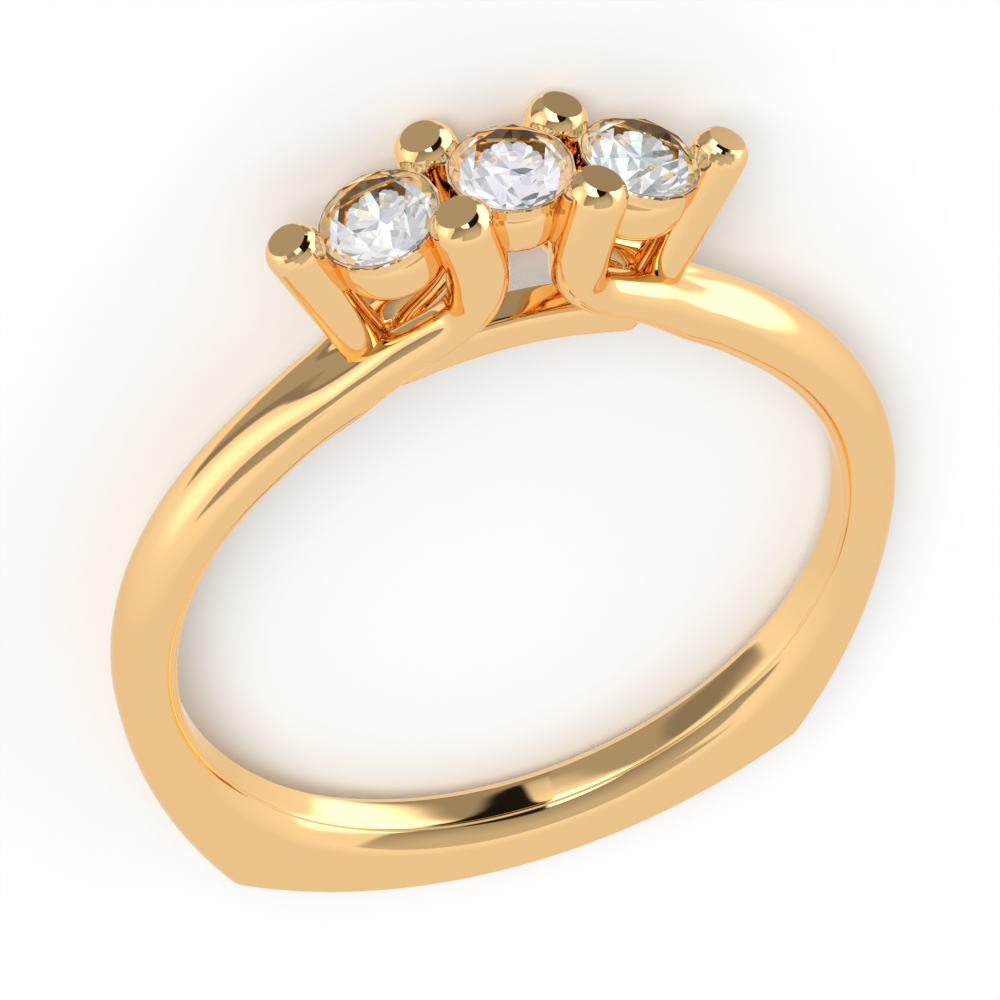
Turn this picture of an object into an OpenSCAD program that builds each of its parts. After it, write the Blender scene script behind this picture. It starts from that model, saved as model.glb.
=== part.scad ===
// Three-stone ring: domed gold shank that splits into four arms, six prongs, three cups and three brilliants.
// It lies on its back side, tilted a little, as it rests by itself: on two arms and on the foot of the shank.

/* [Finger hole] */
// Inside diameter of the ring
bore_d = 17.2; // [16.5:0.1:17.8]

/* [Shank] */
// Full width of the band
band_w = 1.96; // [1.8:0.02:2.1]
// Diameter of the rounding across the outside of the band
dome_d = 2.16; // [2.12:0.02:2.4]
// Width of the band where it meets the finger hole
bore_edge_w = 1; // [0.9:0.02:1.2]
// Thickness of the band at its sides
side_t = 1.49; // [1.4:0.02:1.7]
// How far the round upper part of the outline sits above the middle of the finger hole
crown_rise = 0.18; // [0:0.02:0.4]
// Half the distance between the two lower corners
corner_x = 8.05; // [7.8:0.05:8.3]
// Depth of the two lower corners below the middle of the finger hole
corner_z = 8.26; // [8:0.02:8.5]
// Thickness of the band at the foot
foot_t = 2.41; // [2.2:0.01:2.6]

/* [Split arms] */
// Diameter of an arm and of a prong
arm_d = 1.34; // [1.2:0.02:1.4]
// Distance of an arm's root, inside the shank, from the middle of the ring
root_x = 4.89; // [4.6:0.01:5.2]
// Height of an arm's root above the middle of the finger hole
root_z = 7.76; // [7.5:0.02:8]
// Distance of the place where an arm turns straight ahead from the middle of the ring
knee_x = 2.18; // [2:0.02:2.4]
// Height of that place
knee_z = 10.92; // [10.8:0.02:11]
// Rise of an arm between that place and its bend
rise_angle = 39.6; // [36:0.1:42]
// Radius of the bend from the arm up to the prong
bend_r = 1.23; // [1:0.01:1.5]
// Outward lean of a shared prong
shared_lean = 14.4; // [12:0.1:17]

/* [Prong tips] */
// Distance of a shared prong's tip from the middle of the head
shared_x = 1.6; // [1.5:0.02:1.66]
// Distance of the shared prongs and their arms from the middle plane
shared_y = 1.26; // [1.2:0.01:1.3]
// Height of the shared prongs' tips above the middle of the finger hole
shared_z = 14.06; // [13.9:0.02:14.2]
// Distance of an end prong's tip from the middle of the head
end_x = 4.95; // [4.8:0.01:5.1]
// Height of the end prongs' tips
end_z = 13.18; // [13:0.02:13.4]
// Outward lean of an end prong
end_lean = 24; // [22:0.5:28]
// Radius of the flat face on a prong
flat_r = 0.5; // [0.4:0.02:0.55]
// Height of the rounded shoulder of a prong
tip_h = 0.34; // [0.25:0.02:0.4]

/* [Stones] */
// Diameter of each stone
stone_d = 2.77; // [2.7:0.01:2.8]
// Height of the centre stone's girdle above the middle of the finger hole
centre_z = 13.74; // [13.6:0.02:13.9]
// Distance of a side stone's middle from the centre stone's
side_x = 2.93; // [2.88:0.01:3]
// Height of a side stone's girdle
side_z = 13.18; // [13:0.02:13.3]
// Outward tilt of a side stone
side_tilt = 17; // [15:0.5:19]
// Table diameter over stone diameter
table_ratio = 0.57; // [0.53:0.01:0.6]
// Crown height over stone diameter
crown_ratio = 0.155; // [0.14:0.005:0.17]
// Pavilion depth over stone diameter
pavilion_ratio = 0.43; // [0.41:0.005:0.44]

/* [Seat cups] */
// Outside radius of a cup's bowl
bowl_r = 1.28; // [1.25:0.01:1.32]
// Radius of a cup's foot
cup_foot_r = 0.84; // [0.75:0.01:0.9]
// Height from the girdle down to a cup's foot
cup_h = 1.64; // [1.5:0.02:1.7]

/* [Bridge] */
// Thickness of the bridge under the head
bridge_t = 0.96; // [0.9:0.02:1.1]
// Width of the bridge
bridge_w = 1.04; // [1:0.02:1.2]
// Height of the bridge's inner side above the finger hole
bridge_gap = 0.2; // [0.1:0.02:0.3]
// Radius of the rounding on the bridge's edges
bridge_round_r = 0.6; // [0.56:0.02:0.7]

/* [Hidden] */
$fn = 96;

gold = [0.91, 0.72, 0.44];
clear_stone = [0.93, 0.95, 0.98];

// Air between a stone and the metal that holds it
seat_gap = 0.04;
// Small hole in a seat under the stone's point
point_hole_r = 0.1;
// Radius of the opening in a cup's foot
cup_bore_r = 0.3;
// A cup's collar starts and ends this far below the girdle, and is this much narrower than the bowl
collar_top = 0.06;
collar_foot = 0.34;
collar_step = 0.03;
// Reach of solids that only cut others
far = 40;

bore_r = bore_d / 2;
band_half = band_w / 2;
dome_r = dome_d / 2;
edge_half = bore_edge_w / 2;
arm_r = arm_d / 2;
stone_r = stone_d / 2;

// Outline of the shank seen along the finger: a round top, two long side arcs and a shallow foot arc
top_r = bore_r + side_t;
side_r = (pow(top_r - corner_x, 2) + pow(corner_z + crown_rise, 2)) / (2 * (top_r - corner_x));
foot_z = bore_r + foot_t;
foot_rise = foot_z - corner_z;
foot_r = (corner_x * corner_x + foot_rise * foot_rise) / (2 * foot_rise);
// The shank ends on a slope on each side of the head: half the opening at its foot and at its top
shoulder_x = [4.2, 2.4];
shoulder_z = [6.9, 9.9];
// The side of the band rounds in towards the finger hole over this height
edge_round_h = 0.95;
edge_steps = 6;

// The ball at an arm's knee and its bend stand a hair proud of the straight bars that run into them
knee_r = arm_r + 0.02;
bend_tube_r = arm_r + 0.005;
run_in = 0.1;
// The root of an arm lies a little beyond the middle plane
root_y = 0.14;
root_run = [root_x - knee_x, -root_y - shared_y, knee_z - root_z];
// The straight rise after the knee and the prong's line would meet here, seen along the finger
meet_x = -knee_x + (knee_x - shared_x + tan(shared_lean) * (shared_z - knee_z))
    / (1 + tan(shared_lean) * tan(rise_angle));
meet_z = knee_z + (meet_x + knee_x) * tan(rise_angle);
bend_turn = 90 + shared_lean - rise_angle;
bend_reach = bend_r * tan(bend_turn / 2);
bend_x = meet_x - bend_reach * cos(rise_angle) - bend_r * sin(rise_angle);
bend_z = meet_z - bend_reach * sin(rise_angle) + bend_r * cos(rise_angle);
rise_l = (meet_x + knee_x) / cos(rise_angle) - bend_reach;
prong_l = norm([meet_x + shared_x, shared_z - meet_z]) - bend_reach;

// Length of an end prong, down into the shoulder
end_prong_l = 4;
// The bridge runs this far to each side, into the shoulders
bridge_reach = 4.1;

table_r = table_ratio * stone_r;
crown_h = crown_ratio * stone_d;
pavilion_h = pavilion_ratio * stone_d;
// Half the thickness of the girdle
girdle_half = 0.03;
// The corners of the star facets, and of the facets round the point
star_r = 0.765 * stone_r;
lower_r = 0.22 * stone_r;

// Rest: the floor touches the knees of both back arms and the widest line round the back of the foot.
// The angle between the floor and the ring's own plane follows from those two heights.
wide_z = foot_z - dome_r + sqrt(dome_r * dome_r - band_half * band_half);
rest_run = [shared_y - band_half, knee_z + wide_z];
tilt = atan(rest_run[0] / rest_run[1]) + asin(knee_r / norm(rest_run));
rest_z = band_half * cos(tilt) + wide_z * sin(tilt);
// The two ends along the floor: the rim of a front prong's flat face, and the crown of the foot
up_lean = cos(shared_lean) * cos(tilt);
head_end = shared_z * cos(tilt) + shared_y * sin(tilt) + flat_r * sqrt(1 - up_lean * up_lean);
foot_end = (foot_z - dome_r) * cos(tilt) + dome_r;
middle_y = (head_end - foot_end) / 2;

// Lays the upright ring on its back side, with its lowest points on the floor
module at_rest() {
    translate([0, -middle_y, rest_z])
        rotate([tilt - 90, 0, 0])
            children();
}

// Half width of the band at a height h above the finger hole
function side_half(h) =
    h >= edge_round_h ? band_half
    : edge_half + (band_half - edge_half) * sin(90 * h / edge_round_h);

// Turns a profile drawn as [radius, height] about the finger's axis
module about_finger(angle = 360) {
    rotate([90, 0, 0])
        rotate_extrude(angle = angle)
            children();
}

// Solid disc with a round rim, lying across the finger's axis
module rimmed_disc(r) {
    about_finger() {
        translate([r - dome_r, 0])
            intersection() {
                circle(r = dome_r);
                translate([0, -dome_r])
                    square([dome_r, dome_d]);
            }
        translate([0, -dome_r])
            square([r - dome_r, dome_d]);
    }
}

// Everything between two heights, across the whole ring
module layer(low, high) {
    translate([-far / 2, -far / 2, low])
        cube([far, far, high - low]);
}

// Barrel about the finger's axis that rounds the sides of the band in towards the hole
module side_barrel() {
    inner = [for (i = [0:edge_steps]) let (h = edge_round_h * i / edge_steps) [bore_r + h, side_half(h)]];
    upper = concat([[0, edge_half]], inner, [[far / 2, band_half]]);
    lower = [for (i = [len(upper) - 1:-1:0]) [upper[i][0], -upper[i][1]]];
    about_finger()
        polygon(concat(lower, upper));
}

// Shank before it is bored: round above, flatter sides and foot below, open under the head
module shank() {
    difference() {
        intersection() {
            union() {
                intersection() {
                    translate([0, 0, crown_rise])
                        rimmed_disc(top_r);
                    layer(crown_rise, far / 2);
                }
                intersection() {
                    translate([top_r - side_r, 0, crown_rise])
                        rimmed_disc(side_r);
                    translate([side_r - top_r, 0, crown_rise])
                        rimmed_disc(side_r);
                    translate([0, 0, foot_r - foot_z])
                        rimmed_disc(foot_r);
                    layer(-far / 2, crown_rise);
                }
            }
            side_barrel();
        }
        rotate([90, 0, 0])
            linear_extrude(far, center = true)
                polygon([
                    [-shoulder_x[0], shoulder_z[0]],
                    [shoulder_x[0], shoulder_z[0]],
                    [shoulder_x[1], shoulder_z[1]],
                    [shoulder_x[1], far],
                    [-shoulder_x[1], far],
                    [-shoulder_x[1], shoulder_z[1]]
                ]);
    }
}

// Prong of a given length that ends at the origin in a rounded shoulder and a flat face
module prong(length) {
    steps = 5;
    shoulder = [
        for (i = [0:steps]) let (a = 90 * i / steps)
            [flat_r + (arm_r - flat_r) * sin(a), -tip_h * (1 - cos(a))]
    ];
    rotate_extrude()
        polygon(concat([[0, -length], [0, 0]], shoulder, [[arm_r, -length]]));
}

// Front left arm: out of the shoulder to the knee, a short rise, a bend, and the shared prong
module arm() {
    translate([-root_x, root_y, root_z])
        rotate([0, acos(root_run[2] / norm(root_run)), atan2(root_run[1], root_run[0])])
            cylinder(r = arm_r, h = norm(root_run));
    translate([0, -shared_y, 0]) {
        translate([-knee_x, 0, knee_z]) {
            sphere(r = knee_r);
            rotate([0, 90 - rise_angle, 0])
                cylinder(r = arm_r, h = rise_l + run_in);
        }
        translate([bend_x, 0, bend_z])
            rotate([90, 0, 0])
                rotate([0, 0, rise_angle - 90])
                    rotate_extrude(angle = bend_turn)
                        translate([bend_r, 0])
                            circle(r = bend_tube_r);
        translate([-shared_x, 0, shared_z])
            rotate([0, -shared_lean, 0])
                prong(prong_l + run_in);
    }
}

// Prong in the middle plane that stands on the left shoulder and leans outward
module end_prong() {
    translate([-end_x, 0, end_z])
        rotate([0, -end_lean, 0])
            prong(end_prong_l);
}

// Curved bar along the finger hole that joins the shoulders under the head
module bridge() {
    middle_r = bore_r + bridge_gap + bridge_t / 2;
    half_angle = asin(bridge_reach / middle_r);
    rotate([0, half_angle - 90, 0])
        about_finger(2 * half_angle)
            intersection() {
                translate([middle_r, 0])
                    circle(r = bridge_round_r);
                translate([middle_r, 0])
                    square([bridge_t, bridge_w], center = true);
            }
}

// Places something drawn for a stone's own axis: -1 is the left stone, 0 the centre and 1 the right
module at_stone(side) {
    translate([side * side_x, 0, side == 0 ? centre_z : side_z])
        rotate([0, side * side_tilt, 0])
            children();
}

// Round bowl with a collar at the top and an open foot
module cup() {
    steps = 6;
    collar_r = bowl_r - collar_step;
    bowl = [
        for (i = [0:steps]) let (a = 90 * i / steps)
            [cup_foot_r + (bowl_r - cup_foot_r) * cos(a), -collar_foot - (cup_h - collar_foot) * sin(a)]
    ];
    rotate_extrude()
        polygon(concat(
            [[cup_bore_r, -cup_h], [cup_bore_r, -collar_top], [collar_r, -collar_top], [collar_r, -collar_foot]],
            bowl
        ));
}

// Room for a stone: its turned outline with the gap all round
module seat_cutter() {
    reach = stone_r + seat_gap;
    point_z = -girdle_half - pavilion_h - 2 * seat_gap;
    table_z = girdle_half + crown_h + 1.5 * seat_gap;
    rotate_extrude()
        polygon([
            [0, point_z],
            [point_hole_r, point_z],
            [reach, -girdle_half - seat_gap / 2],
            [reach, girdle_half + seat_gap / 2],
            [table_r, table_z],
            [table_r, stone_r],
            [0, stone_r]
        ]);
}

module mounting() {
    color(gold)
        difference() {
            union() {
                shank();
                bridge();
                for (side = [0, 1])
                    mirror([side, 0, 0]) {
                        arm();
                        mirror([0, 1, 0])
                            arm();
                        end_prong();
                    }
                for (side = [-1:1])
                    at_stone(side)
                        cup();
            }
            rotate([90, 0, 0])
                cylinder(r = bore_r, h = far, center = true);
            for (side = [-1:1])
                at_stone(side)
                    seat_cutter();
        }
}

// Ring of points at one height
function ring(count, r, z, turn = 0) = [
    for (i = [0:count - 1]) [r * cos(turn + 360 * i / count), r * sin(turn + 360 * i / count), z]
];

// Round brilliant about its own axis, girdle at zero: table, stars, kites, girdle, pavilion
module brilliant() {
    step = 22.5;
    crown_top = girdle_half + crown_h;
    pavilion_tip = -girdle_half - pavilion_h;
    star_z = girdle_half + crown_h * (stone_r - star_r * cos(step)) / (stone_r - table_r);
    lower_z = pavilion_tip + pavilion_h * lower_r * cos(step) / stone_r;
    points = concat(
        ring(8, table_r, crown_top),
        ring(8, star_r, star_z, step),
        ring(16, stone_r, girdle_half),
        ring(16, stone_r, -girdle_half),
        ring(8, lower_r, lower_z, step),
        [[0, 0, pavilion_tip]]
    );
    star = 8;
    upper = 16;
    under = 32;
    low = 48;
    tip = 56;
    faces = concat(
        [[for (i = [7:-1:0]) i]],
        [for (i = [0:7]) [i, (i + 1) % 8, star + i]],
        [for (i = [0:7]) [i, star + i, upper + 2 * i, star + (i + 7) % 8]],
        [for (i = [0:7]) [star + i, upper + 2 * i + 1, upper + 2 * i]],
        [for (i = [0:7]) [star + i, upper + (2 * i + 2) % 16, upper + 2 * i + 1]],
        [for (i = [0:15]) [upper + i, upper + (i + 1) % 16, under + (i + 1) % 16, under + i]],
        [for (i = [0:7]) [low + i, under + 2 * i, under + 2 * i + 1]],
        [for (i = [0:7]) [low + i, under + 2 * i + 1, under + (2 * i + 2) % 16]],
        [for (i = [0:7]) [tip, low + (i + 7) % 8, under + 2 * i, low + i]]
    );
    color(clear_stone)
        polyhedron(points, faces);
}

at_rest() mounting();
at_rest() at_stone(0) brilliant();  // centre_stone
at_rest() at_stone(-1) brilliant();  // left_stone
at_rest() at_stone(1) brilliant();  // right_stone
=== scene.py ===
"""A polished gold ring with three round brilliants on a split shank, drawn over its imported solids.

Shapes are drawn in millimetres on the upright ring: X to the right, Y along the finger and away
from the viewer, Z up to the stones, with the middle of the finger hole as origin. REST then lays
them on the floor and turns millimetres into metres. A turn is the angle round the finger hole in
degrees, from the middle of the foot (0) over the side (90) to the middle of the head (180).
"""

from math import asin, cos, hypot, pi, radians, sin, sqrt

import bmesh
import bpy
from mathutils import Matrix, Vector


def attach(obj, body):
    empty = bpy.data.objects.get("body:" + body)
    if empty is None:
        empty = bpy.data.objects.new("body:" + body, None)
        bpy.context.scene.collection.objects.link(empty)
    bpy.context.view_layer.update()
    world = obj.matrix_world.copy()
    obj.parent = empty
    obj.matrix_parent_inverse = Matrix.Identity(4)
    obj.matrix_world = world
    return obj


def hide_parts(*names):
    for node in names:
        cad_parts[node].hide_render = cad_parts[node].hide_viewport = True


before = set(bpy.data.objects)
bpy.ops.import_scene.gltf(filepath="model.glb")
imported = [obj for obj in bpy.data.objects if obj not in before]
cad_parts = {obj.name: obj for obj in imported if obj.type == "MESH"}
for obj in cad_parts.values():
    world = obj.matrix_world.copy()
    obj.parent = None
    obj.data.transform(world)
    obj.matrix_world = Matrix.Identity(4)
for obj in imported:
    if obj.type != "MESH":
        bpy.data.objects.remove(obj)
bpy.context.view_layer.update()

# How the ring rests on the floor
MM = 0.001
TILT = radians(2.608891)
REST_Z = 1.4516374
MIDDLE_Y = 1.6146779

# Finger hole and dome of the shank
BORE_R = 8.6
DOME_R = 1.08
# Half width of the band: CREASE_Y at height CREASE_H over the finger hole, and SIDE_Y more from
# EDGE_ROUND_H above that
CREASE_Y = 0.455
SIDE_Y = 0.525
CREASE_H = 0.04
EDGE_ROUND_H = 0.95
EDGE_ROUND_POWER = 3.2
# Circles of the outline seen along the finger: x and z of the middle, radius
CROWN = (0.0, 0.13, 10.09)
SIDE = (8.39, 0.18, 18.48)
FOOT = (0.0, 2.15, 13.16)
# Turns where the foot's circle gives way to the side's, and the side's to the crown's
CORNER = 44.26
CROWN_START = 91.0
# Turns closer together than this count as one
SAME_TURN = 0.01

# Rows of half a section: angles on the dome, shares of the side's height, and height and half
# width of the fine groove and of the rounded edge by the finger hole
DOME_STEPS = (0, 12, 24, 36, 47, 56, 63)
SIDE_STEPS = (0.84, 0.68, 0.53, 0.39, 0.27, 0.17)
EDGE_STEPS = ((0.09, 0.540), (0.076, 0.484), (0.062, 0.510), (0.022, 0.475), (0.005, 0.43),
              (0, 0.2), (0, 0))
UPPER = len(DOME_STEPS) + len(SIDE_STEPS)

# Turns of the shank's rows: the foot's, closer ones round the corner, and where the side's start
FOOT_TURNS = [3.4 * i for i in range(12)]
CORNER_TURNS = [40.0, 42.0, 43.4, CORNER, 45.1]
SIDE_START = 46.5
SIDE_ROWS = 30
# Sharpness of the corner from the dome's top to the finger hole: at the top, and less at each point
CORNER_CREASE = 1.3
CREASE_FADE = 0.16

# Split of the shank: its turns, the station of the arm where it ends, and its number of rows
SPLIT_START = 136.0
SPLIT_TURN = 164.0
ARM_TURN = 153.7
SPLIT_END = 2.0
SPLIT_ROWS = 17
# The dome grows this much flatter over these degrees after the split's start
DOME_FLATTEN = 0.22
FLATTEN_TURNS = 24
# How the crown gives way to the arm, and how high the ridge between two arms stays
ARM_EASE = 1.2
RIDGE_SHARE = 0.8
RIDGE_POWER = 8
SPLIT_HALF_GAP = 0.02
# Middle plane of the split, x and z: the underside, and the crotch from low to high
UNDER_LINE = ((-5.974, 6.186), (-5.585, 6.539), (-5.176, 6.868), (-4.75, 7.17), (-4.20, 7.52),
              (-3.68, 7.88), (-3.20, 8.33), (-2.80, 8.80), (-2.47, 9.26))
CROTCH = ((-2.44, 9.37), (-2.46, 9.47), (-2.51, 9.57), (-2.61, 9.66), (-2.76, 9.73))

# Centre line of the front left arm and shared prong: x, y, z and radius, a row for each station
ARM = [
    (-4.272, -0.55, 8.663, 0.600),
    (-3.545, -0.585, 9.185, 0.583),
    (-2.79, -0.650, 9.715, 0.575),
    (-2.11, -0.745, 10.14, 0.555),
    (-1.62, -0.825, 10.50, 0.545),
    (-1.31, -0.925, 10.92, 0.580),
    (-1.165, -1.045, 11.38, 0.635),
    (-1.145, -1.165, 11.86, 0.680),
    (-1.165, -1.245, 12.37, 0.700),
    (-1.270, -1.265, 12.90, 0.705),
]
SHARED_TIP = Vector((-1.60, -1.26, 14.06))
ARM_LINE = [station[:3] for station in ARM] + [(-1.43, -1.265, 13.49), tuple(SHARED_TIP)]
LAST_STATION = len(ARM) - 1
TIP_STATION = len(ARM) + 0.5
# The arm's direction is taken between the places this far before and after a station
STATION_REACH = 0.3
# From this station on, over so many stations, the arm's points spread evenly and its groove fades
EVEN_START = 5
EVEN_STATIONS = 3

# Directions round the arm, in degrees from its outer side over its front: the top, the groove and
# the rounded lower edge with their shares of the radius, and the side that faces the other arm
TOP_ANGLE = -48
TOP_STEP = 12.3
EDGE_ANGLES = (112, 116, 120, 133, 151, 178, 208)
EDGE_SHARES = (1.015, 0.975, 1.01, 1.0, 1.0, 1.0, 1.0)
INNER_ANGLES = (226, 243, 260, 277, 295)
ARM_ANGLES = [TOP_ANGLE + TOP_STEP * i for i in range(UPPER)] + list(EDGE_ANGLES + INNER_ANGLES)
ARM_SHARES = [1.0] * UPPER + list(EDGE_SHARES) + [1.0] * len(INNER_ANGLES)
EVEN_ANGLES = [TOP_ANGLE + 360 / len(ARM_ANGLES) * i for i in range(len(ARM_ANGLES))]

# Prong tips: roundness of the shoulder, its rows, and radius and flat face's share of the radius
TIP_ROUND = 0.78
TIP_ROWS = 6
SHARED_TIP_R, SHARED_RIM = 0.705, 0.64
END_TIP_R, END_RIM = 0.645, 0.66
# End prongs: place of the tip, lean, sides, and rows of depth under the flat face and radius
END_X, END_Z = 4.95, 13.18
END_LEAN = radians(24)
END_SIDES = 24
END_PRONG = ((3.8, 0.58), (3.4, 0.59), (2.8, 0.60), (2.2, 0.61), (1.6, 0.625), (1.0, 0.64))

# Stones: x and z of the girdle's middle and outward tilt in degrees
STONES = {"left": (-2.93, 13.18, -17), "centre": (0.0, 13.74, 0), "right": (2.93, 13.18, 17)}
# Half section of a seat cup: radius and height over the girdle, from the foot round the bowl and
# the collar to the seat
CUP_PROFILE = ((0.30, -1.57), (0.33, -1.61), (0.55, -1.62), (0.80, -1.58), (1.02, -1.47),
               (1.19, -1.31), (1.29, -1.12), (1.33, -0.90), (1.33, -0.66), (1.30, -0.44),
               (1.26, -0.37), (1.25, -0.34), (1.25, -0.10), (1.235, -0.07), (1.2, -0.10),
               (0.8, -0.52), (0.34, -1.0), (0.30, -1.08))
CUP_SIDES = 32

# Half section of the bridge: distance from the finger's axis and half width
BRIDGE_SECTION = ((9.76, 0.0), (9.76, 0.24), (9.755, 0.40), (9.71, 0.46), (9.55, 0.52),
                  (9.28, 0.54), (9.02, 0.51), (8.86, 0.43), (8.81, 0.24), (8.80, 0.0))
# Its middle line: radius, and degrees from the head's middle to an end and to the inner rows
BRIDGE_R = 9.28
BRIDGE_REACH = 18.9
BRIDGE_ROWS = (-12, -6, 0, 6, 12)
# Rows of a rounded end: degrees in from the end and share of the section
BRIDGE_END = ((0.0, 0.55), (0.8, 0.86), (2.2, 1.0))

# Camera, at the photograph's angle to the upright ring: its direction, its place, and how far off
# the picture's plane is, in pixels
AZIMUTH, ELEVATION, ROLL = radians(-17.956), radians(47.928), radians(0.711)
CAMERA_AT = Vector((-14.51, -43.78, 54.39))
FOCAL_PIXELS = 2891.38
FRAME_PIXELS = 1000
SENSOR_MM = 36

# Floor: half its width in metres, grey and roughness
FLOOR_HALF = 0.6
FLOOR_GREY = 0.77
FLOOR_ROUGHNESS = 0.8

# Lamp for the shadow: strength, width and direction in the room
WINDOW_STRENGTH = 2.3
WINDOW_WIDTH = radians(38)
WINDOW_FROM = Vector((-0.45, 0.65, 0.75))

# What the polished metal sees, by azimuth and elevation round the upright ring in degrees;
# azimuth 0 is towards the viewer, and the right is positive
# Ground: (elevation, brightness)
GROUND_UP = ((-30, 0.84), (0, 1.0))
CARDS = (
    # azimuth from, to, elevation from, to, softness, brightness
    (-200, 200, 0, 100, 2, 0.98),
    (-109, -76, 0, 44, 9, 1.45),
    (62, 132, 3, 44, 5, 2.30),
    (-200, -124, 3, 56, 3, 0.42),
    (-136, -124, 3, 40, 3, 0.27),
    (134, 200, 8, 54, 6, 0.34),
    (-200, -58, 64, 100, 2, 2.80),
    (-62, 6, 53, 100, 2, 2.80),
    (6, 168, 49, 100, 2, 0.01),
)
# The first cards lie behind the darker backdrop, and the others in front of it
CARDS_BEHIND = 2
# Backdrop: azimuth from, to and softness, and elevation and softness of its lower and upper edge
BACKDROP_SIDES = (-61, 59, 1.5)
BACKDROP_LOW, BACKDROP_HIGH = (0, 2.5), (60, 2.0)
# The cut at its lower left: azimuth from, to, and rise of its edge for each degree
LEFT_CUT = (-60, -24, 0.5)
# The slant of its right end: azimuth at the bottom, and rise for each degree
RIGHT_SLANT = (38, 1.5)
# Its light: (azimuth, brightness) along it, and (elevation, share of that) up it
BACKDROP_ALONG = ((-60, 0.36), (-35, 0.46), (-5, 0.60), (35, 0.60), (57, 0.34))
BACKDROP_UP = ((26, 1.0), (50, 0.62))


def rest_matrix():
    """Lays the upright ring on its back side, a little tilted, and turns millimetres to metres."""
    lay = Matrix.Translation((0, -MIDDLE_Y, REST_Z)) @ Matrix.Rotation(TILT - pi / 2, 4, "X")
    return Matrix.Scale(MM, 4) @ lay


REST = rest_matrix()
# The same turn for directions
REST_TURN = REST.to_3x3() * (1 / MM)


# Helpers for the meshes

def within_one(value):
    return min(1, max(0, value))


def add_object(name, data):
    made = bpy.data.objects.new(name, data)
    bpy.context.scene.collection.objects.link(made)
    return made


def finish_piece(bm, name, levels=1, node="mounting"):
    """Lays a mesh on the floor, makes it a gold object, and hides the imported part that it stands
    in for.
    """
    bmesh.ops.remove_doubles(bm, verts=bm.verts, dist=1e-4)
    bmesh.ops.recalc_face_normals(bm, faces=bm.faces)
    bmesh.ops.transform(bm, matrix=REST, verts=bm.verts)
    for face in bm.faces:
        face.smooth = True
    mesh = bpy.data.meshes.new(name)
    bm.to_mesh(mesh)
    bm.free()
    mesh.materials.append(GOLD)
    piece = add_object(name, mesh)
    rounding = piece.modifiers.new("rounding", "SUBSURF")
    rounding.levels = rounding.render_levels = levels
    rounding.boundary_smooth = "PRESERVE_CORNERS"
    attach(piece, "root")
    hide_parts(node)
    return piece


def through_cage(piece, rounds=3, pull=0.7, limit=0.05 * MM):
    """Moves the cage so that the rounded surface passes close to the points it was drawn with."""
    mesh = piece.data
    wanted = [v.co.copy() for v in mesh.vertices]
    for _ in range(rounds):
        depsgraph = bpy.context.evaluated_depsgraph_get()
        depsgraph.update()
        rounded = piece.evaluated_get(depsgraph).data
        for v, target in zip(mesh.vertices, wanted):
            moved = v.co + (target - rounded.vertices[v.index].co) * pull - target
            if moved.length > limit:
                moved *= limit / moved.length
            v.co = target + moved
        mesh.update()


def row_of(bm, points, closed=False):
    """A first row of vertices joined by edges."""
    verts = [bm.verts.new(p) for p in points]
    pairs = list(zip(verts, verts[1:])) + ([(verts[-1], verts[0])] if closed else [])
    return verts, [bm.edges.new(p) for p in pairs]


def next_row(bm, verts, edges, points):
    """Extrudes a row, moves it to points, and returns it; its edges copy the old row's marks."""
    out = bmesh.ops.extrude_edge_only(bm, edges=edges)
    made = [g for g in out["geom"] if isinstance(g, bmesh.types.BMVert)]
    new_edges = {g for g in out["geom"] if isinstance(g, bmesh.types.BMEdge)}
    follows = {}
    for v in made:
        old = [e.other_vert(v) for e in v.link_edges if e.other_vert(v) not in made]
        follows[old[0]] = v
    new = [follows[v] for v in verts]
    for v, p in zip(new, points):
        v.co = p
    made = set(made)
    return new, [e for e in new_edges if e.verts[0] in made and e.verts[1] in made]


def mark_sharp(edges, crease):
    for edge in edges:
        edge[crease] = 1
        edge.smooth = False


# The shank's outline and section

def outline_r(turn, depth):
    """Distance from the finger's axis to the outline moved in by depth."""
    x, z, r = FOOT if turn < CORNER - SAME_TURN else SIDE if turn < CROWN_START else CROWN
    along = Vector((-sin(radians(turn)), -cos(radians(turn))))
    reach = along.dot(Vector((x, z)))
    return reach + sqrt((r - depth) ** 2 - x * x - z * z + reach * reach)


def corner_point(depth):
    """Where the outlines of foot and side meet, both moved in by depth."""
    ax, az, ar = FOOT
    bx, bz, br = SIDE
    ar, br = ar - depth, br - depth
    gap = hypot(bx - ax, bz - az)
    along = (ar * ar - br * br + gap * gap) / (2 * gap)
    off = sqrt(ar * ar - along * along)
    ux, uz = (bx - ax) / gap, (bz - az) / gap
    found = [(ax + ux * along + s * uz * off, az + uz * along - s * ux * off) for s in (-1, 1)]
    return min(found, key=lambda p: p[1] + p[0])


def side_half_width(out):
    """Half the width of the band at this height over the finger hole."""
    risen = within_one((out - CREASE_H) / EDGE_ROUND_H)
    return CREASE_Y + SIDE_Y * (1 - (1 - risen) ** EDGE_ROUND_POWER)


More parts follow.
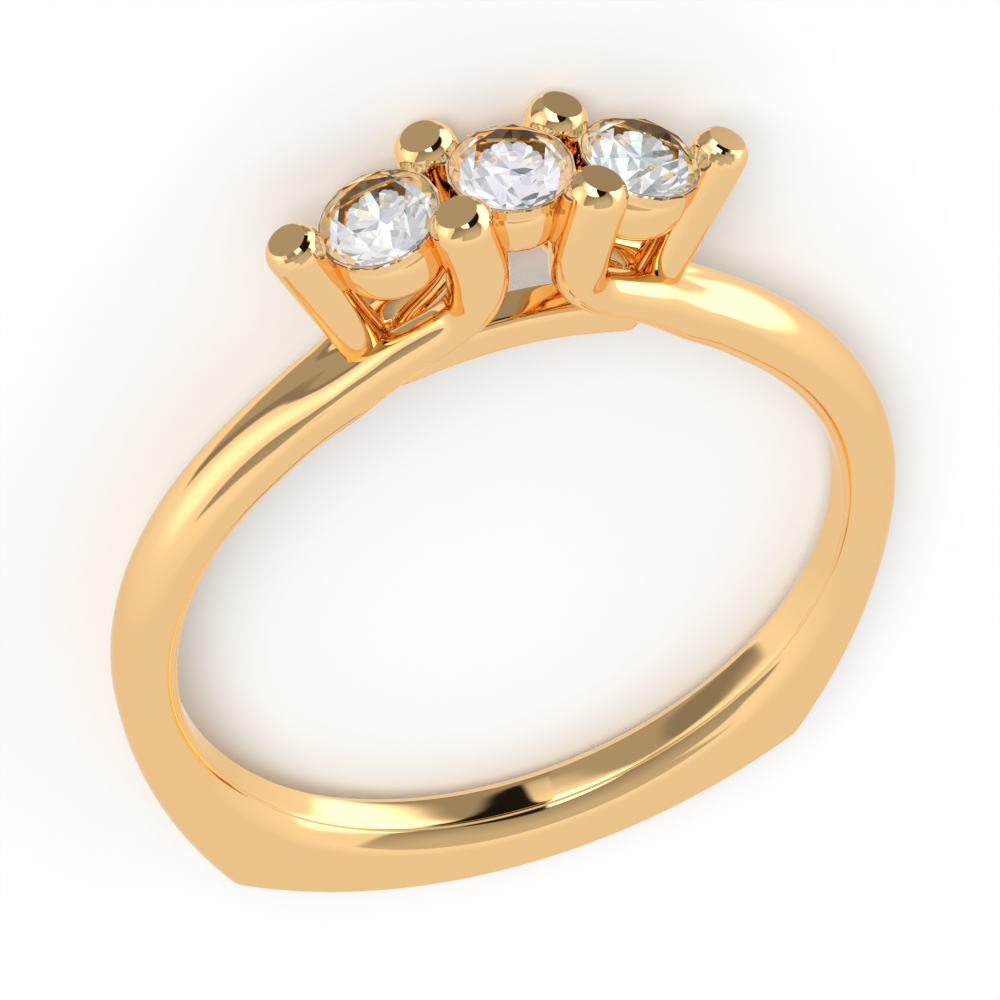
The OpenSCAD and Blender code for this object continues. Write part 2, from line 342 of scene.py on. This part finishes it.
def shank_row(turn):
    """Half a section of the shank, from the top of its dome to the middle of its inside."""
    away = Vector((-sin(radians(turn)), 0, -cos(radians(turn))))
    flatter = within_one((turn - SPLIT_START) / FLATTEN_TURNS)
    row = []
    for step in DOME_STEPS:
        depth = DOME_R * (1 - cos(radians(step))) * (1 - DOME_FLATTEN * flatter)
        y = -DOME_R * sin(radians(step))
        if abs(turn - CORNER) < SAME_TURN:
            x, z = corner_point(depth)
            row.append(Vector((x, y, z)))
        else:
            row.append(away * outline_r(turn, depth) + Vector((0, y, 0)))
    top = hypot(row[-1].x, row[-1].z) - BORE_R
    lean = row[-1] - Vector((0, row[-1].y, 0)) - away * (BORE_R + top)
    for share in SIDE_STEPS:
        point = away * (BORE_R + top * share) + lean * share
        row.append(point - Vector((0, side_half_width(top * share), 0)))
    for out, y in EDGE_STEPS:
        row.append(away * (BORE_R + out) - Vector((0, y, 0)))
    return row


# Split arms and shared prongs

def along_table(table, at):
    """Numbers between a table's rows, on a smooth curve through them."""
    k = max(0, min(int(at), len(table) - 2))
    t = at - k
    a, b = table[k], table[k + 1]
    before = table[k - 1] if k else [2 * p - q for p, q in zip(a, b)]
    after = table[k + 2] if k + 2 < len(table) else [2 * q - p for p, q in zip(a, b)]
    return [q + 0.5 * t * (r - p + t * (2 * p - 5 * q + 4 * r - s + t * (3 * (q - r) + s - p)))
            for p, q, r, s in zip(before, a, b, after)]


def arm_frame(at):
    """Outer and front directions of the arm at a station."""
    ahead = Vector(along_table(ARM_LINE, at + STATION_REACH))
    along = (ahead - Vector(along_table(ARM_LINE, at - STATION_REACH))).normalized()
    front = (Vector((0, -1, 0)) - along * along.dot(Vector((0, -1, 0)))).normalized()
    return front.cross(along).normalized(), front


def arm_point(centre, outer, front, radius, angle):
    return centre + radius * (cos(radians(angle)) * outer + sin(radians(angle)) * front)


def arm_row(at, even=0.0):
    """A row round the arm; even spreads its points and fades its fine groove, from 0 to 1."""
    *centre, radius = along_table(ARM, at)
    directions = arm_frame(at)
    return [arm_point(Vector(centre), *directions, radius * (1 + (share - 1) * (1 - even)),
                      angle + (level - angle) * even)
            for angle, level, share in zip(ARM_ANGLES, EVEN_ANGLES, ARM_SHARES)]


def split_row(share):
    """A row between the last one of the shank (0) and the first one of the arms alone (1)."""
    turn = SPLIT_START + (SPLIT_TURN - SPLIT_START) * share
    at = (turn - ARM_TURN) * SPLIT_END / (SPLIT_TURN - ARM_TURN)
    # Before its first station the arm is carried round the finger's axis
    round_axis = Matrix.Rotation(radians(min(0, turn - ARM_TURN)), 3, "Y")
    crown = shank_row(turn)
    arm = [round_axis @ point for point in arm_row(max(0, at))]
    eased = share ** ARM_EASE
    rise = eased * eased * (3 - 2 * eased)
    row = [c.lerp(a, rise) for c, a in zip(crown, arm)]
    height = hypot(row[2].x, row[2].z) / hypot(crown[0].x, crown[0].z) - 1
    row[0] = crown[0] * (1 + max(0, height) * RIDGE_SHARE * (1 - share ** RIDGE_POWER))
    x, z = along_table(UNDER_LINE, share * (len(UNDER_LINE) - 1))
    row[-1] = Vector((x, 0, z))
    for point in row[1:-1]:
        point.y = min(point.y, -SPLIT_HALF_GAP)
    return row


def add_tip(bm, crease, verts, edges, tip, along, directions, tip_r, rim, angles):
    """A prong's rounded shoulder and flat face; rim is the face's share of the prong's radius."""
    axis = along.normalized()
    start = asin(1 - (1 - rim) / TIP_ROUND)
    for i in range(TIP_ROWS, -1, -1):
        lean = start + (pi / 2 - start) * i / TIP_ROWS
        depth = TIP_ROUND * (cos(start) - cos(lean)) * tip_r
        radius = (1 - TIP_ROUND * (1 - sin(lean))) * tip_r
        row = [arm_point(tip - axis * depth, *directions, radius, angle) for angle in angles]
        verts, edges = next_row(bm, verts, edges, row)
    mark_sharp(edges, crease)
    bm.faces.new(verts)


def build_band():
    """A quarter of shank, arm and shared prong, mirrored to front, back, left and right."""
    bm = bmesh.new()
    crease = bm.edges.layers.float.new("crease_edge")
    turns = FOOT_TURNS + CORNER_TURNS + [SIDE_START]
    turns += [SIDE_START + (SPLIT_START - SIDE_START) / SIDE_ROWS * i
              for i in range(1, SIDE_ROWS + 1)]
    verts, edges = row_of(bm, shank_row(turns[0]))
    for turn in turns[1:]:
        verts, edges = next_row(bm, verts, edges, shank_row(turn))
        if turn == CORNER:
            # All later rows of this quarter copy the corner's crease
            for i, pair in enumerate(zip(verts, verts[1:])):
                bm.edges.get(pair)[crease] = within_one(CORNER_CREASE - CREASE_FADE * i)
    for k in range(1, SPLIT_ROWS + 1):
        verts, edges = next_row(bm, verts, edges, split_row(k / SPLIT_ROWS))
    crotch = [bm.verts.new((x, 0, z)) for x, z in CROTCH]
    line = [verts[-1]] + crotch + [verts[0]]
    edges += [bm.edges.new(pair) for pair in zip(line, line[1:])]
    verts = verts + crotch
    # Two rows for each station that is left
    for k in range(1, 2 * int(LAST_STATION - SPLIT_END) + 1):
        at = SPLIT_END + k / 2
        even = within_one((at - EVEN_START) / EVEN_STATIONS)
        verts, edges = next_row(bm, verts, edges, arm_row(at, even))
    add_tip(bm, crease, verts, edges, SHARED_TIP, SHARED_TIP - Vector(ARM_LINE[-2]),
            arm_frame(TIP_STATION), SHARED_TIP_R, SHARED_RIM, EVEN_ANGLES)
    for axis in ("Y", "X"):
        bmesh.ops.mirror(bm, geom=bm.verts[:] + bm.edges[:] + bm.faces[:],
                         matrix=Matrix.Identity(4), merge_dist=1e-4, axis=axis)
    return bm


def build_end_prong(side):
    """A straight bar that stands on the crown and ends in a rounded tip; side is 1 for the left."""
    bm = bmesh.new()
    crease = bm.edges.layers.float.new("crease_edge")
    tip = Vector((-END_X * side, 0, END_Z))
    axis = Vector((-sin(END_LEAN) * side, 0, cos(END_LEAN)))
    outer = Vector((-axis.z * side, 0, axis.x * side)).normalized()
    front = Vector((0, -1, 0))
    angles = [360 * i / END_SIDES for i in range(END_SIDES)]
    rows = [[arm_point(tip - axis * depth, outer, front, radius, angle) for angle in angles]
            for depth, radius in END_PRONG]
    verts, edges = row_of(bm, rows[0], closed=True)
    bm.faces.new(verts)
    # All later rows copy the foot's sharp rim, so that the tip mirrors in small steps
    mark_sharp(edges, crease)
    for row in rows[1:]:
        verts, edges = next_row(bm, verts, edges, row)
    add_tip(bm, crease, verts, edges, tip, axis, (outer, front), END_TIP_R, END_RIM, angles)
    return bm


def build_cup(name):
    """A seat cup: a collar, a bowl and a conical seat, turned round the stone's axis."""
    x, z, lean = STONES[name]
    bm = bmesh.new()
    verts, edges = row_of(bm, [Vector((r, 0, h)) for r, h in CUP_PROFILE], closed=True)
    bmesh.ops.spin(bm, geom=verts + edges, cent=(0, 0, 0), axis=(0, 0, 1), angle=2 * pi,
                   steps=CUP_SIDES, use_merge=True, use_duplicate=False)
    seat = Matrix.Translation((x, 0, z)) @ Matrix.Rotation(radians(lean), 4, "Y")
    bmesh.ops.transform(bm, matrix=seat, verts=bm.verts)
    return bm


def build_bridge():
    """A short bar under the head that follows the finger hole."""
    loop = [(r, -y) for r, y in BRIDGE_SECTION] + [(r, y) for r, y in BRIDGE_SECTION[-2:0:-1]]
    stations = [(-BRIDGE_REACH + degrees_in, share) for degrees_in, share in BRIDGE_END]
    stations += [(angle, 1.0) for angle in BRIDGE_ROWS]
    stations += [(-angle, share) for angle, share in reversed(stations[:len(BRIDGE_END)])]
    rows = []
    for angle, share in stations:
        away = Vector((sin(radians(angle)), 0, cos(radians(angle))))
        rows.append([away * (BRIDGE_R + (r - BRIDGE_R) * share) + Vector((0, y * share, 0))
                     for r, y in loop])
    bm = bmesh.new()
    verts, edges = row_of(bm, rows[0], closed=True)
    bm.faces.new(verts)
    for row in rows[1:]:
        verts, edges = next_row(bm, verts, edges, row)
    bm.faces.new(verts)
    return bm


# Materials

def feed(tree, socket, value):
    """Links a node's output to a socket, or sets the socket to a plain value."""
    if isinstance(value, bpy.types.NodeSocket):
        tree.links.new(value, socket)
    else:
        socket.default_value = value


def add_node(tree, kind, inputs=(), **settings):
    """Adds a shader node with its settings, and feeds its inputs by name or number."""
    made = tree.nodes.new("ShaderNode" + kind)
    for key, value in settings.items():
        setattr(made, key, value)
    for key, value in dict(inputs).items():
        feed(tree, made.inputs[key], value)
    return made


def gold_material():
    """Polished gold with a faint cloud in its colour and polish."""
    material = bpy.data.materials.new("polished_gold")
    material.use_nodes = True
    tree = material.node_tree
    shader = tree.nodes["Principled BSDF"]
    shader.inputs["Metallic"].default_value = 1.0
    shader.inputs["Specular Tint"].default_value = (1.0, 0.86, 0.70, 1)
    place = add_node(tree, "TexCoord").outputs["Object"]
    cloud = add_node(tree, "TexNoise", {"Vector": place, "Scale": 260.0, "Detail": 2.0,
                                        "Roughness": 0.5}).outputs["Fac"]
    colour = add_node(tree, "ValToRGB", {"Fac": cloud})
    colour.color_ramp.elements[0].color = (0.99, 0.645, 0.295, 1)
    colour.color_ramp.elements[1].color = (1.0, 0.665, 0.315, 1)
    feed(tree, shader.inputs["Base Color"], colour.outputs["Color"])
    polish = add_node(tree, "MapRange", {"Value": cloud, "To Min": 0.035, "To Max": 0.065})
    feed(tree, shader.inputs["Roughness"], polish.outputs["Result"])
    return material


# Stones: the share of painted sparkle, a glow of the stone's own, at a lower facet and from within
# the crown, the share of plain mirror on the crown, and the share of painted fire in that glow's
# colour
FACET_SHINE = 0.78
CROWN_SHINE = 0.16
CROWN_GLOSS = 0.05
PAINTED_FIRE_SHARE = 0.16
# Strength of a facet's painted sparkle, its own glow, by a number from 0 to 1 that each facet has
FACET_LIGHT = ((0.0, 0.01), (0.32, 1.35), (0.45, 0.45), (0.65, 0.95), (1.0, 1.0))
FACET_CELLS = 7.0
STONE_IOR = 2.42
# The facets start this far below the girdle's middle
UNDER_GIRDLE = 0.05


def stone_material(name):
    """A clear stone: glass above the girdle, facets below it that are mostly painted sparkle,
    glowing by themselves.
    """
    x, z, lean = STONES[name]
    axis = REST_TURN @ Vector((sin(radians(lean)), 0, cos(radians(lean))))
    girdle = REST @ Vector((x, 0, z))
    material = bpy.data.materials.new("clear_brilliant_" + name)
    material.use_nodes = True
    tree = material.node_tree
    tree.nodes.remove(tree.nodes["Principled BSDF"])

    def mixed(first, second, share):
        made = add_node(tree, "MixShader", {0: share})
        tree.links.new(first.outputs[0], made.inputs[1])
        tree.links.new(second.outputs[0], made.inputs[2])
        return made

    place = add_node(tree, "TexCoord")
    height = add_node(tree, "VectorMath", {0: place.outputs["Object"], 1: axis},
                      operation="DOT_PRODUCT").outputs["Value"]
    below = add_node(tree, "Math", {0: height, 1: girdle.dot(axis) - UNDER_GIRDLE * MM},
                     operation="LESS_THAN").outputs[0]
    # Painted sparkle and painted fire: each facet glows with its own brightness and slight colour,
    # picked by the way it faces
    cells = add_node(tree, "TexVoronoi", {"Vector": place.outputs["Normal"],
                                          "Scale": FACET_CELLS}).outputs["Color"]
    # Painted fire: a slight random hue mixed into each facet's glow
    painted_fire = add_node(tree, "Mix", data_type="RGBA")
    for number, value in ((0, PAINTED_FIRE_SHARE), (6, (0.93, 0.95, 1.0, 1)), (7, cells)):
        feed(tree, painted_fire.inputs[number], value)
    parts = add_node(tree, "SeparateColor", {0: cells})
    spread = add_node(tree, "ValToRGB", {"Fac": parts.outputs[0]})
    for at, _ in FACET_LIGHT[1:-1]:
        spread.color_ramp.elements.new(at)
    for stop, (_, value) in zip(spread.color_ramp.elements, FACET_LIGHT):
        stop.color = (value, value, value, 1)
    # Painted sparkle: the facets glow by themselves in place of light that a stone would mirror
    shine = add_node(tree, "Emission", {"Color": painted_fire.outputs[2],
                                        "Strength": spread.outputs["Color"]})

    crown = mixed(add_node(tree, "BsdfRefraction", {"Roughness": 0.0, "IOR": STONE_IOR}),
                  add_node(tree, "BsdfAnisotropic", {"Roughness": 0.0}), CROWN_GLOSS)
    # Painted sparkle also glows from the crown where the crown is seen from inside the stone
    inside = add_node(tree, "NewGeometry").outputs["Backfacing"]
    within = add_node(tree, "Math", {0: inside, 1: CROWN_SHINE}, operation="MULTIPLY")
    crown = mixed(crown, shine, within.outputs[0])
    facets = add_node(tree, "BsdfAnisotropic", {"Color": (0.96, 0.97, 1.0, 1), "Roughness": 0.0})
    either = mixed(crown, mixed(facets, shine, FACET_SHINE), below)
    tree.links.new(either.outputs[0], tree.nodes["Material Output"].inputs["Surface"])
    return material


# The ring

GOLD = gold_material()
finish_piece(build_band(), "shank_and_arms")
for label, side in (("left", 1), ("right", -1)):
    finish_piece(build_end_prong(side), "end_prong_" + label)
for label in STONES:
    finish_piece(build_cup(label), "seat_cup_" + label)
through_cage(finish_piece(build_bridge(), "bridge", levels=2))

for label in STONES:
    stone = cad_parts[label + "_stone"]
    stone.data.materials.clear()
    stone.data.materials.append(stone_material(label))


# Floor, camera and light

def lay_floor():
    """A plain pale sheet that the metal doesn't mirror."""
    bm = bmesh.new()
    bmesh.ops.create_grid(bm, x_segments=1, y_segments=1, size=FLOOR_HALF)
    mesh = bpy.data.meshes.new("floor")
    bm.to_mesh(mesh)
    bm.free()
    floor = add_object("floor", mesh)
    paper = bpy.data.materials.new("pale_floor")
    paper.use_nodes = True
    shader = paper.node_tree.nodes["Principled BSDF"]
    shader.inputs["Base Color"].default_value = (FLOOR_GREY, FLOOR_GREY, FLOOR_GREY, 1)
    shader.inputs["Roughness"].default_value = FLOOR_ROUGHNESS
    mesh.materials.append(paper)
    floor.visible_glossy = False


def set_camera():
    """Puts the camera where it sees the lying ring as the photograph shows it upright."""
    back = Vector((sin(AZIMUTH) * cos(ELEVATION), -cos(AZIMUTH) * cos(ELEVATION), sin(ELEVATION)))
    right = Vector((0, 0, 1)).cross(back).normalized()
    up = back.cross(right)
    turned_right = cos(ROLL) * right - sin(ROLL) * up
    turned_up = cos(ROLL) * up + sin(ROLL) * right
    directions = [REST_TURN @ turned_right, REST_TURN @ turned_up, REST_TURN @ back]
    axes = Matrix(directions).transposed().to_4x4()
    axes.translation = REST @ CAMERA_AT
    camera = add_object("camera", bpy.data.cameras.new("camera"))
    camera.matrix_world = axes
    camera.data.sensor_width = SENSOR_MM
    camera.data.lens = FOCAL_PIXELS * SENSOR_MM / FRAME_PIXELS
    camera.data.clip_start = 0.001
    camera.data.clip_end = 10
    bpy.context.scene.camera = camera


def light_window():
    """A broad soft light from near the camera's own direction, for the shadow on the floor."""
    window = add_object("window", bpy.data.lights.new("window", "SUN"))
    window.data.energy = WINDOW_STRENGTH
    window.data.angle = WINDOW_WIDTH
    window.matrix_world = WINDOW_FROM.to_track_quat("Z", "Y").to_matrix().to_4x4()
    window.visible_glossy = False
    window.visible_transmission = False


def world_light():
    """Soft cards and a backdrop round the ring, which the polished metal mirrors."""
    world = bpy.data.worlds.new("studio")
    bpy.context.scene.world = world
    world.use_nodes = True
    tree = world.node_tree

    def math(operation, *values):
        return add_node(tree, "Math", enumerate(values), operation=operation).outputs[0]

    def along(axis):
        direction = {0: seen, 1: tuple(REST_TURN @ Vector(axis))}
        return add_node(tree, "VectorMath", direction, operation="DOT_PRODUCT").outputs["Value"]

    def over(light, mask, brightness):
        return add_node(tree, "Mix", {0: mask, 2: light, 3: brightness}).outputs[0]

    def above(value, at, soft):
        """0 below a value, 1 above it, with a soft step between."""
        limits = {"Value": value, "From Min": at - soft, "From Max": at + soft}
        return add_node(tree, "MapRange", limits,
                        interpolation_type="SMOOTHSTEP").outputs["Result"]

    def under(value, at, soft):
        return above(math("MULTIPLY", value, -1.0), -at, soft)

    def card(light, az0, az1, el0, el1, soft, brightness):
        inside = math("MULTIPLY", above(azimuth, az0, soft), under(azimuth, az1, soft))
        level = math("MULTIPLY", above(elevation, el0, soft), under(elevation, el1, soft))
        return over(light, math("MULTIPLY", inside, level), brightness)

    def blend(value, points):
        """Straight lines between (value, result) points."""
        light = points[0][1]
        for (at, _), (to, result) in zip(points, points[1:]):
            part = add_node(tree, "MapRange", {"Value": value, "From Min": at, "From Max": to})
            light = over(light, part.outputs["Result"], result)
        return light

    seen = add_node(tree, "TexCoord").outputs["Generated"]
    x, y, z = [along(axis) for axis in ((1, 0, 0), (0, 1, 0), (0, 0, 1))]
    azimuth = math("MULTIPLY", math("ARCTAN2", x, math("MULTIPLY", y, -1.0)), 180 / pi)
    elevation = math("MULTIPLY", math("ARCSINE", z), 180 / pi)

    # The ground brightens towards the horizon
    light = blend(elevation, GROUND_UP)
    for values in CARDS[:CARDS_BEHIND]:
        light = card(light, *values)
    # The backdrop is cut at its lower left, and its right end slants
    from_left, to_right, soft = BACKDROP_SIDES
    inside = math("MULTIPLY", above(azimuth, from_left, soft), under(azimuth, to_right, soft))
    level = math("MULTIPLY", above(elevation, *BACKDROP_LOW), under(elevation, *BACKDROP_HIGH))
    cut_from, cut_to, rise = LEFT_CUT
    cut = math("MULTIPLY", math("SUBTRACT", azimuth, cut_from), rise)
    left = math("MAXIMUM", above(math("SUBTRACT", elevation, cut), 1.0, 2.0),
                above(azimuth, cut_to, 3.0))
    slant_from, rise = RIGHT_SLANT
    slant = math("MULTIPLY", math("SUBTRACT", azimuth, slant_from), rise)
    edges = math("MULTIPLY", left, above(math("SUBTRACT", elevation, slant), 0.0, 3.0))
    shade = math("MULTIPLY", blend(azimuth, BACKDROP_ALONG), blend(elevation, BACKDROP_UP))
    light = over(light, math("MULTIPLY", math("MULTIPLY", inside, level), edges), shade)
    for values in CARDS[CARDS_BEHIND:]:
        light = card(light, *values)
    tree.links.new(light, tree.nodes["Background"].inputs["Strength"])
    tree.nodes["Background"].inputs["Color"].default_value = (1, 1, 1, 1)


lay_floor()
set_camera()
light_window()
world_light()
bpy.context.scene.view_settings.view_transform = "Standard"
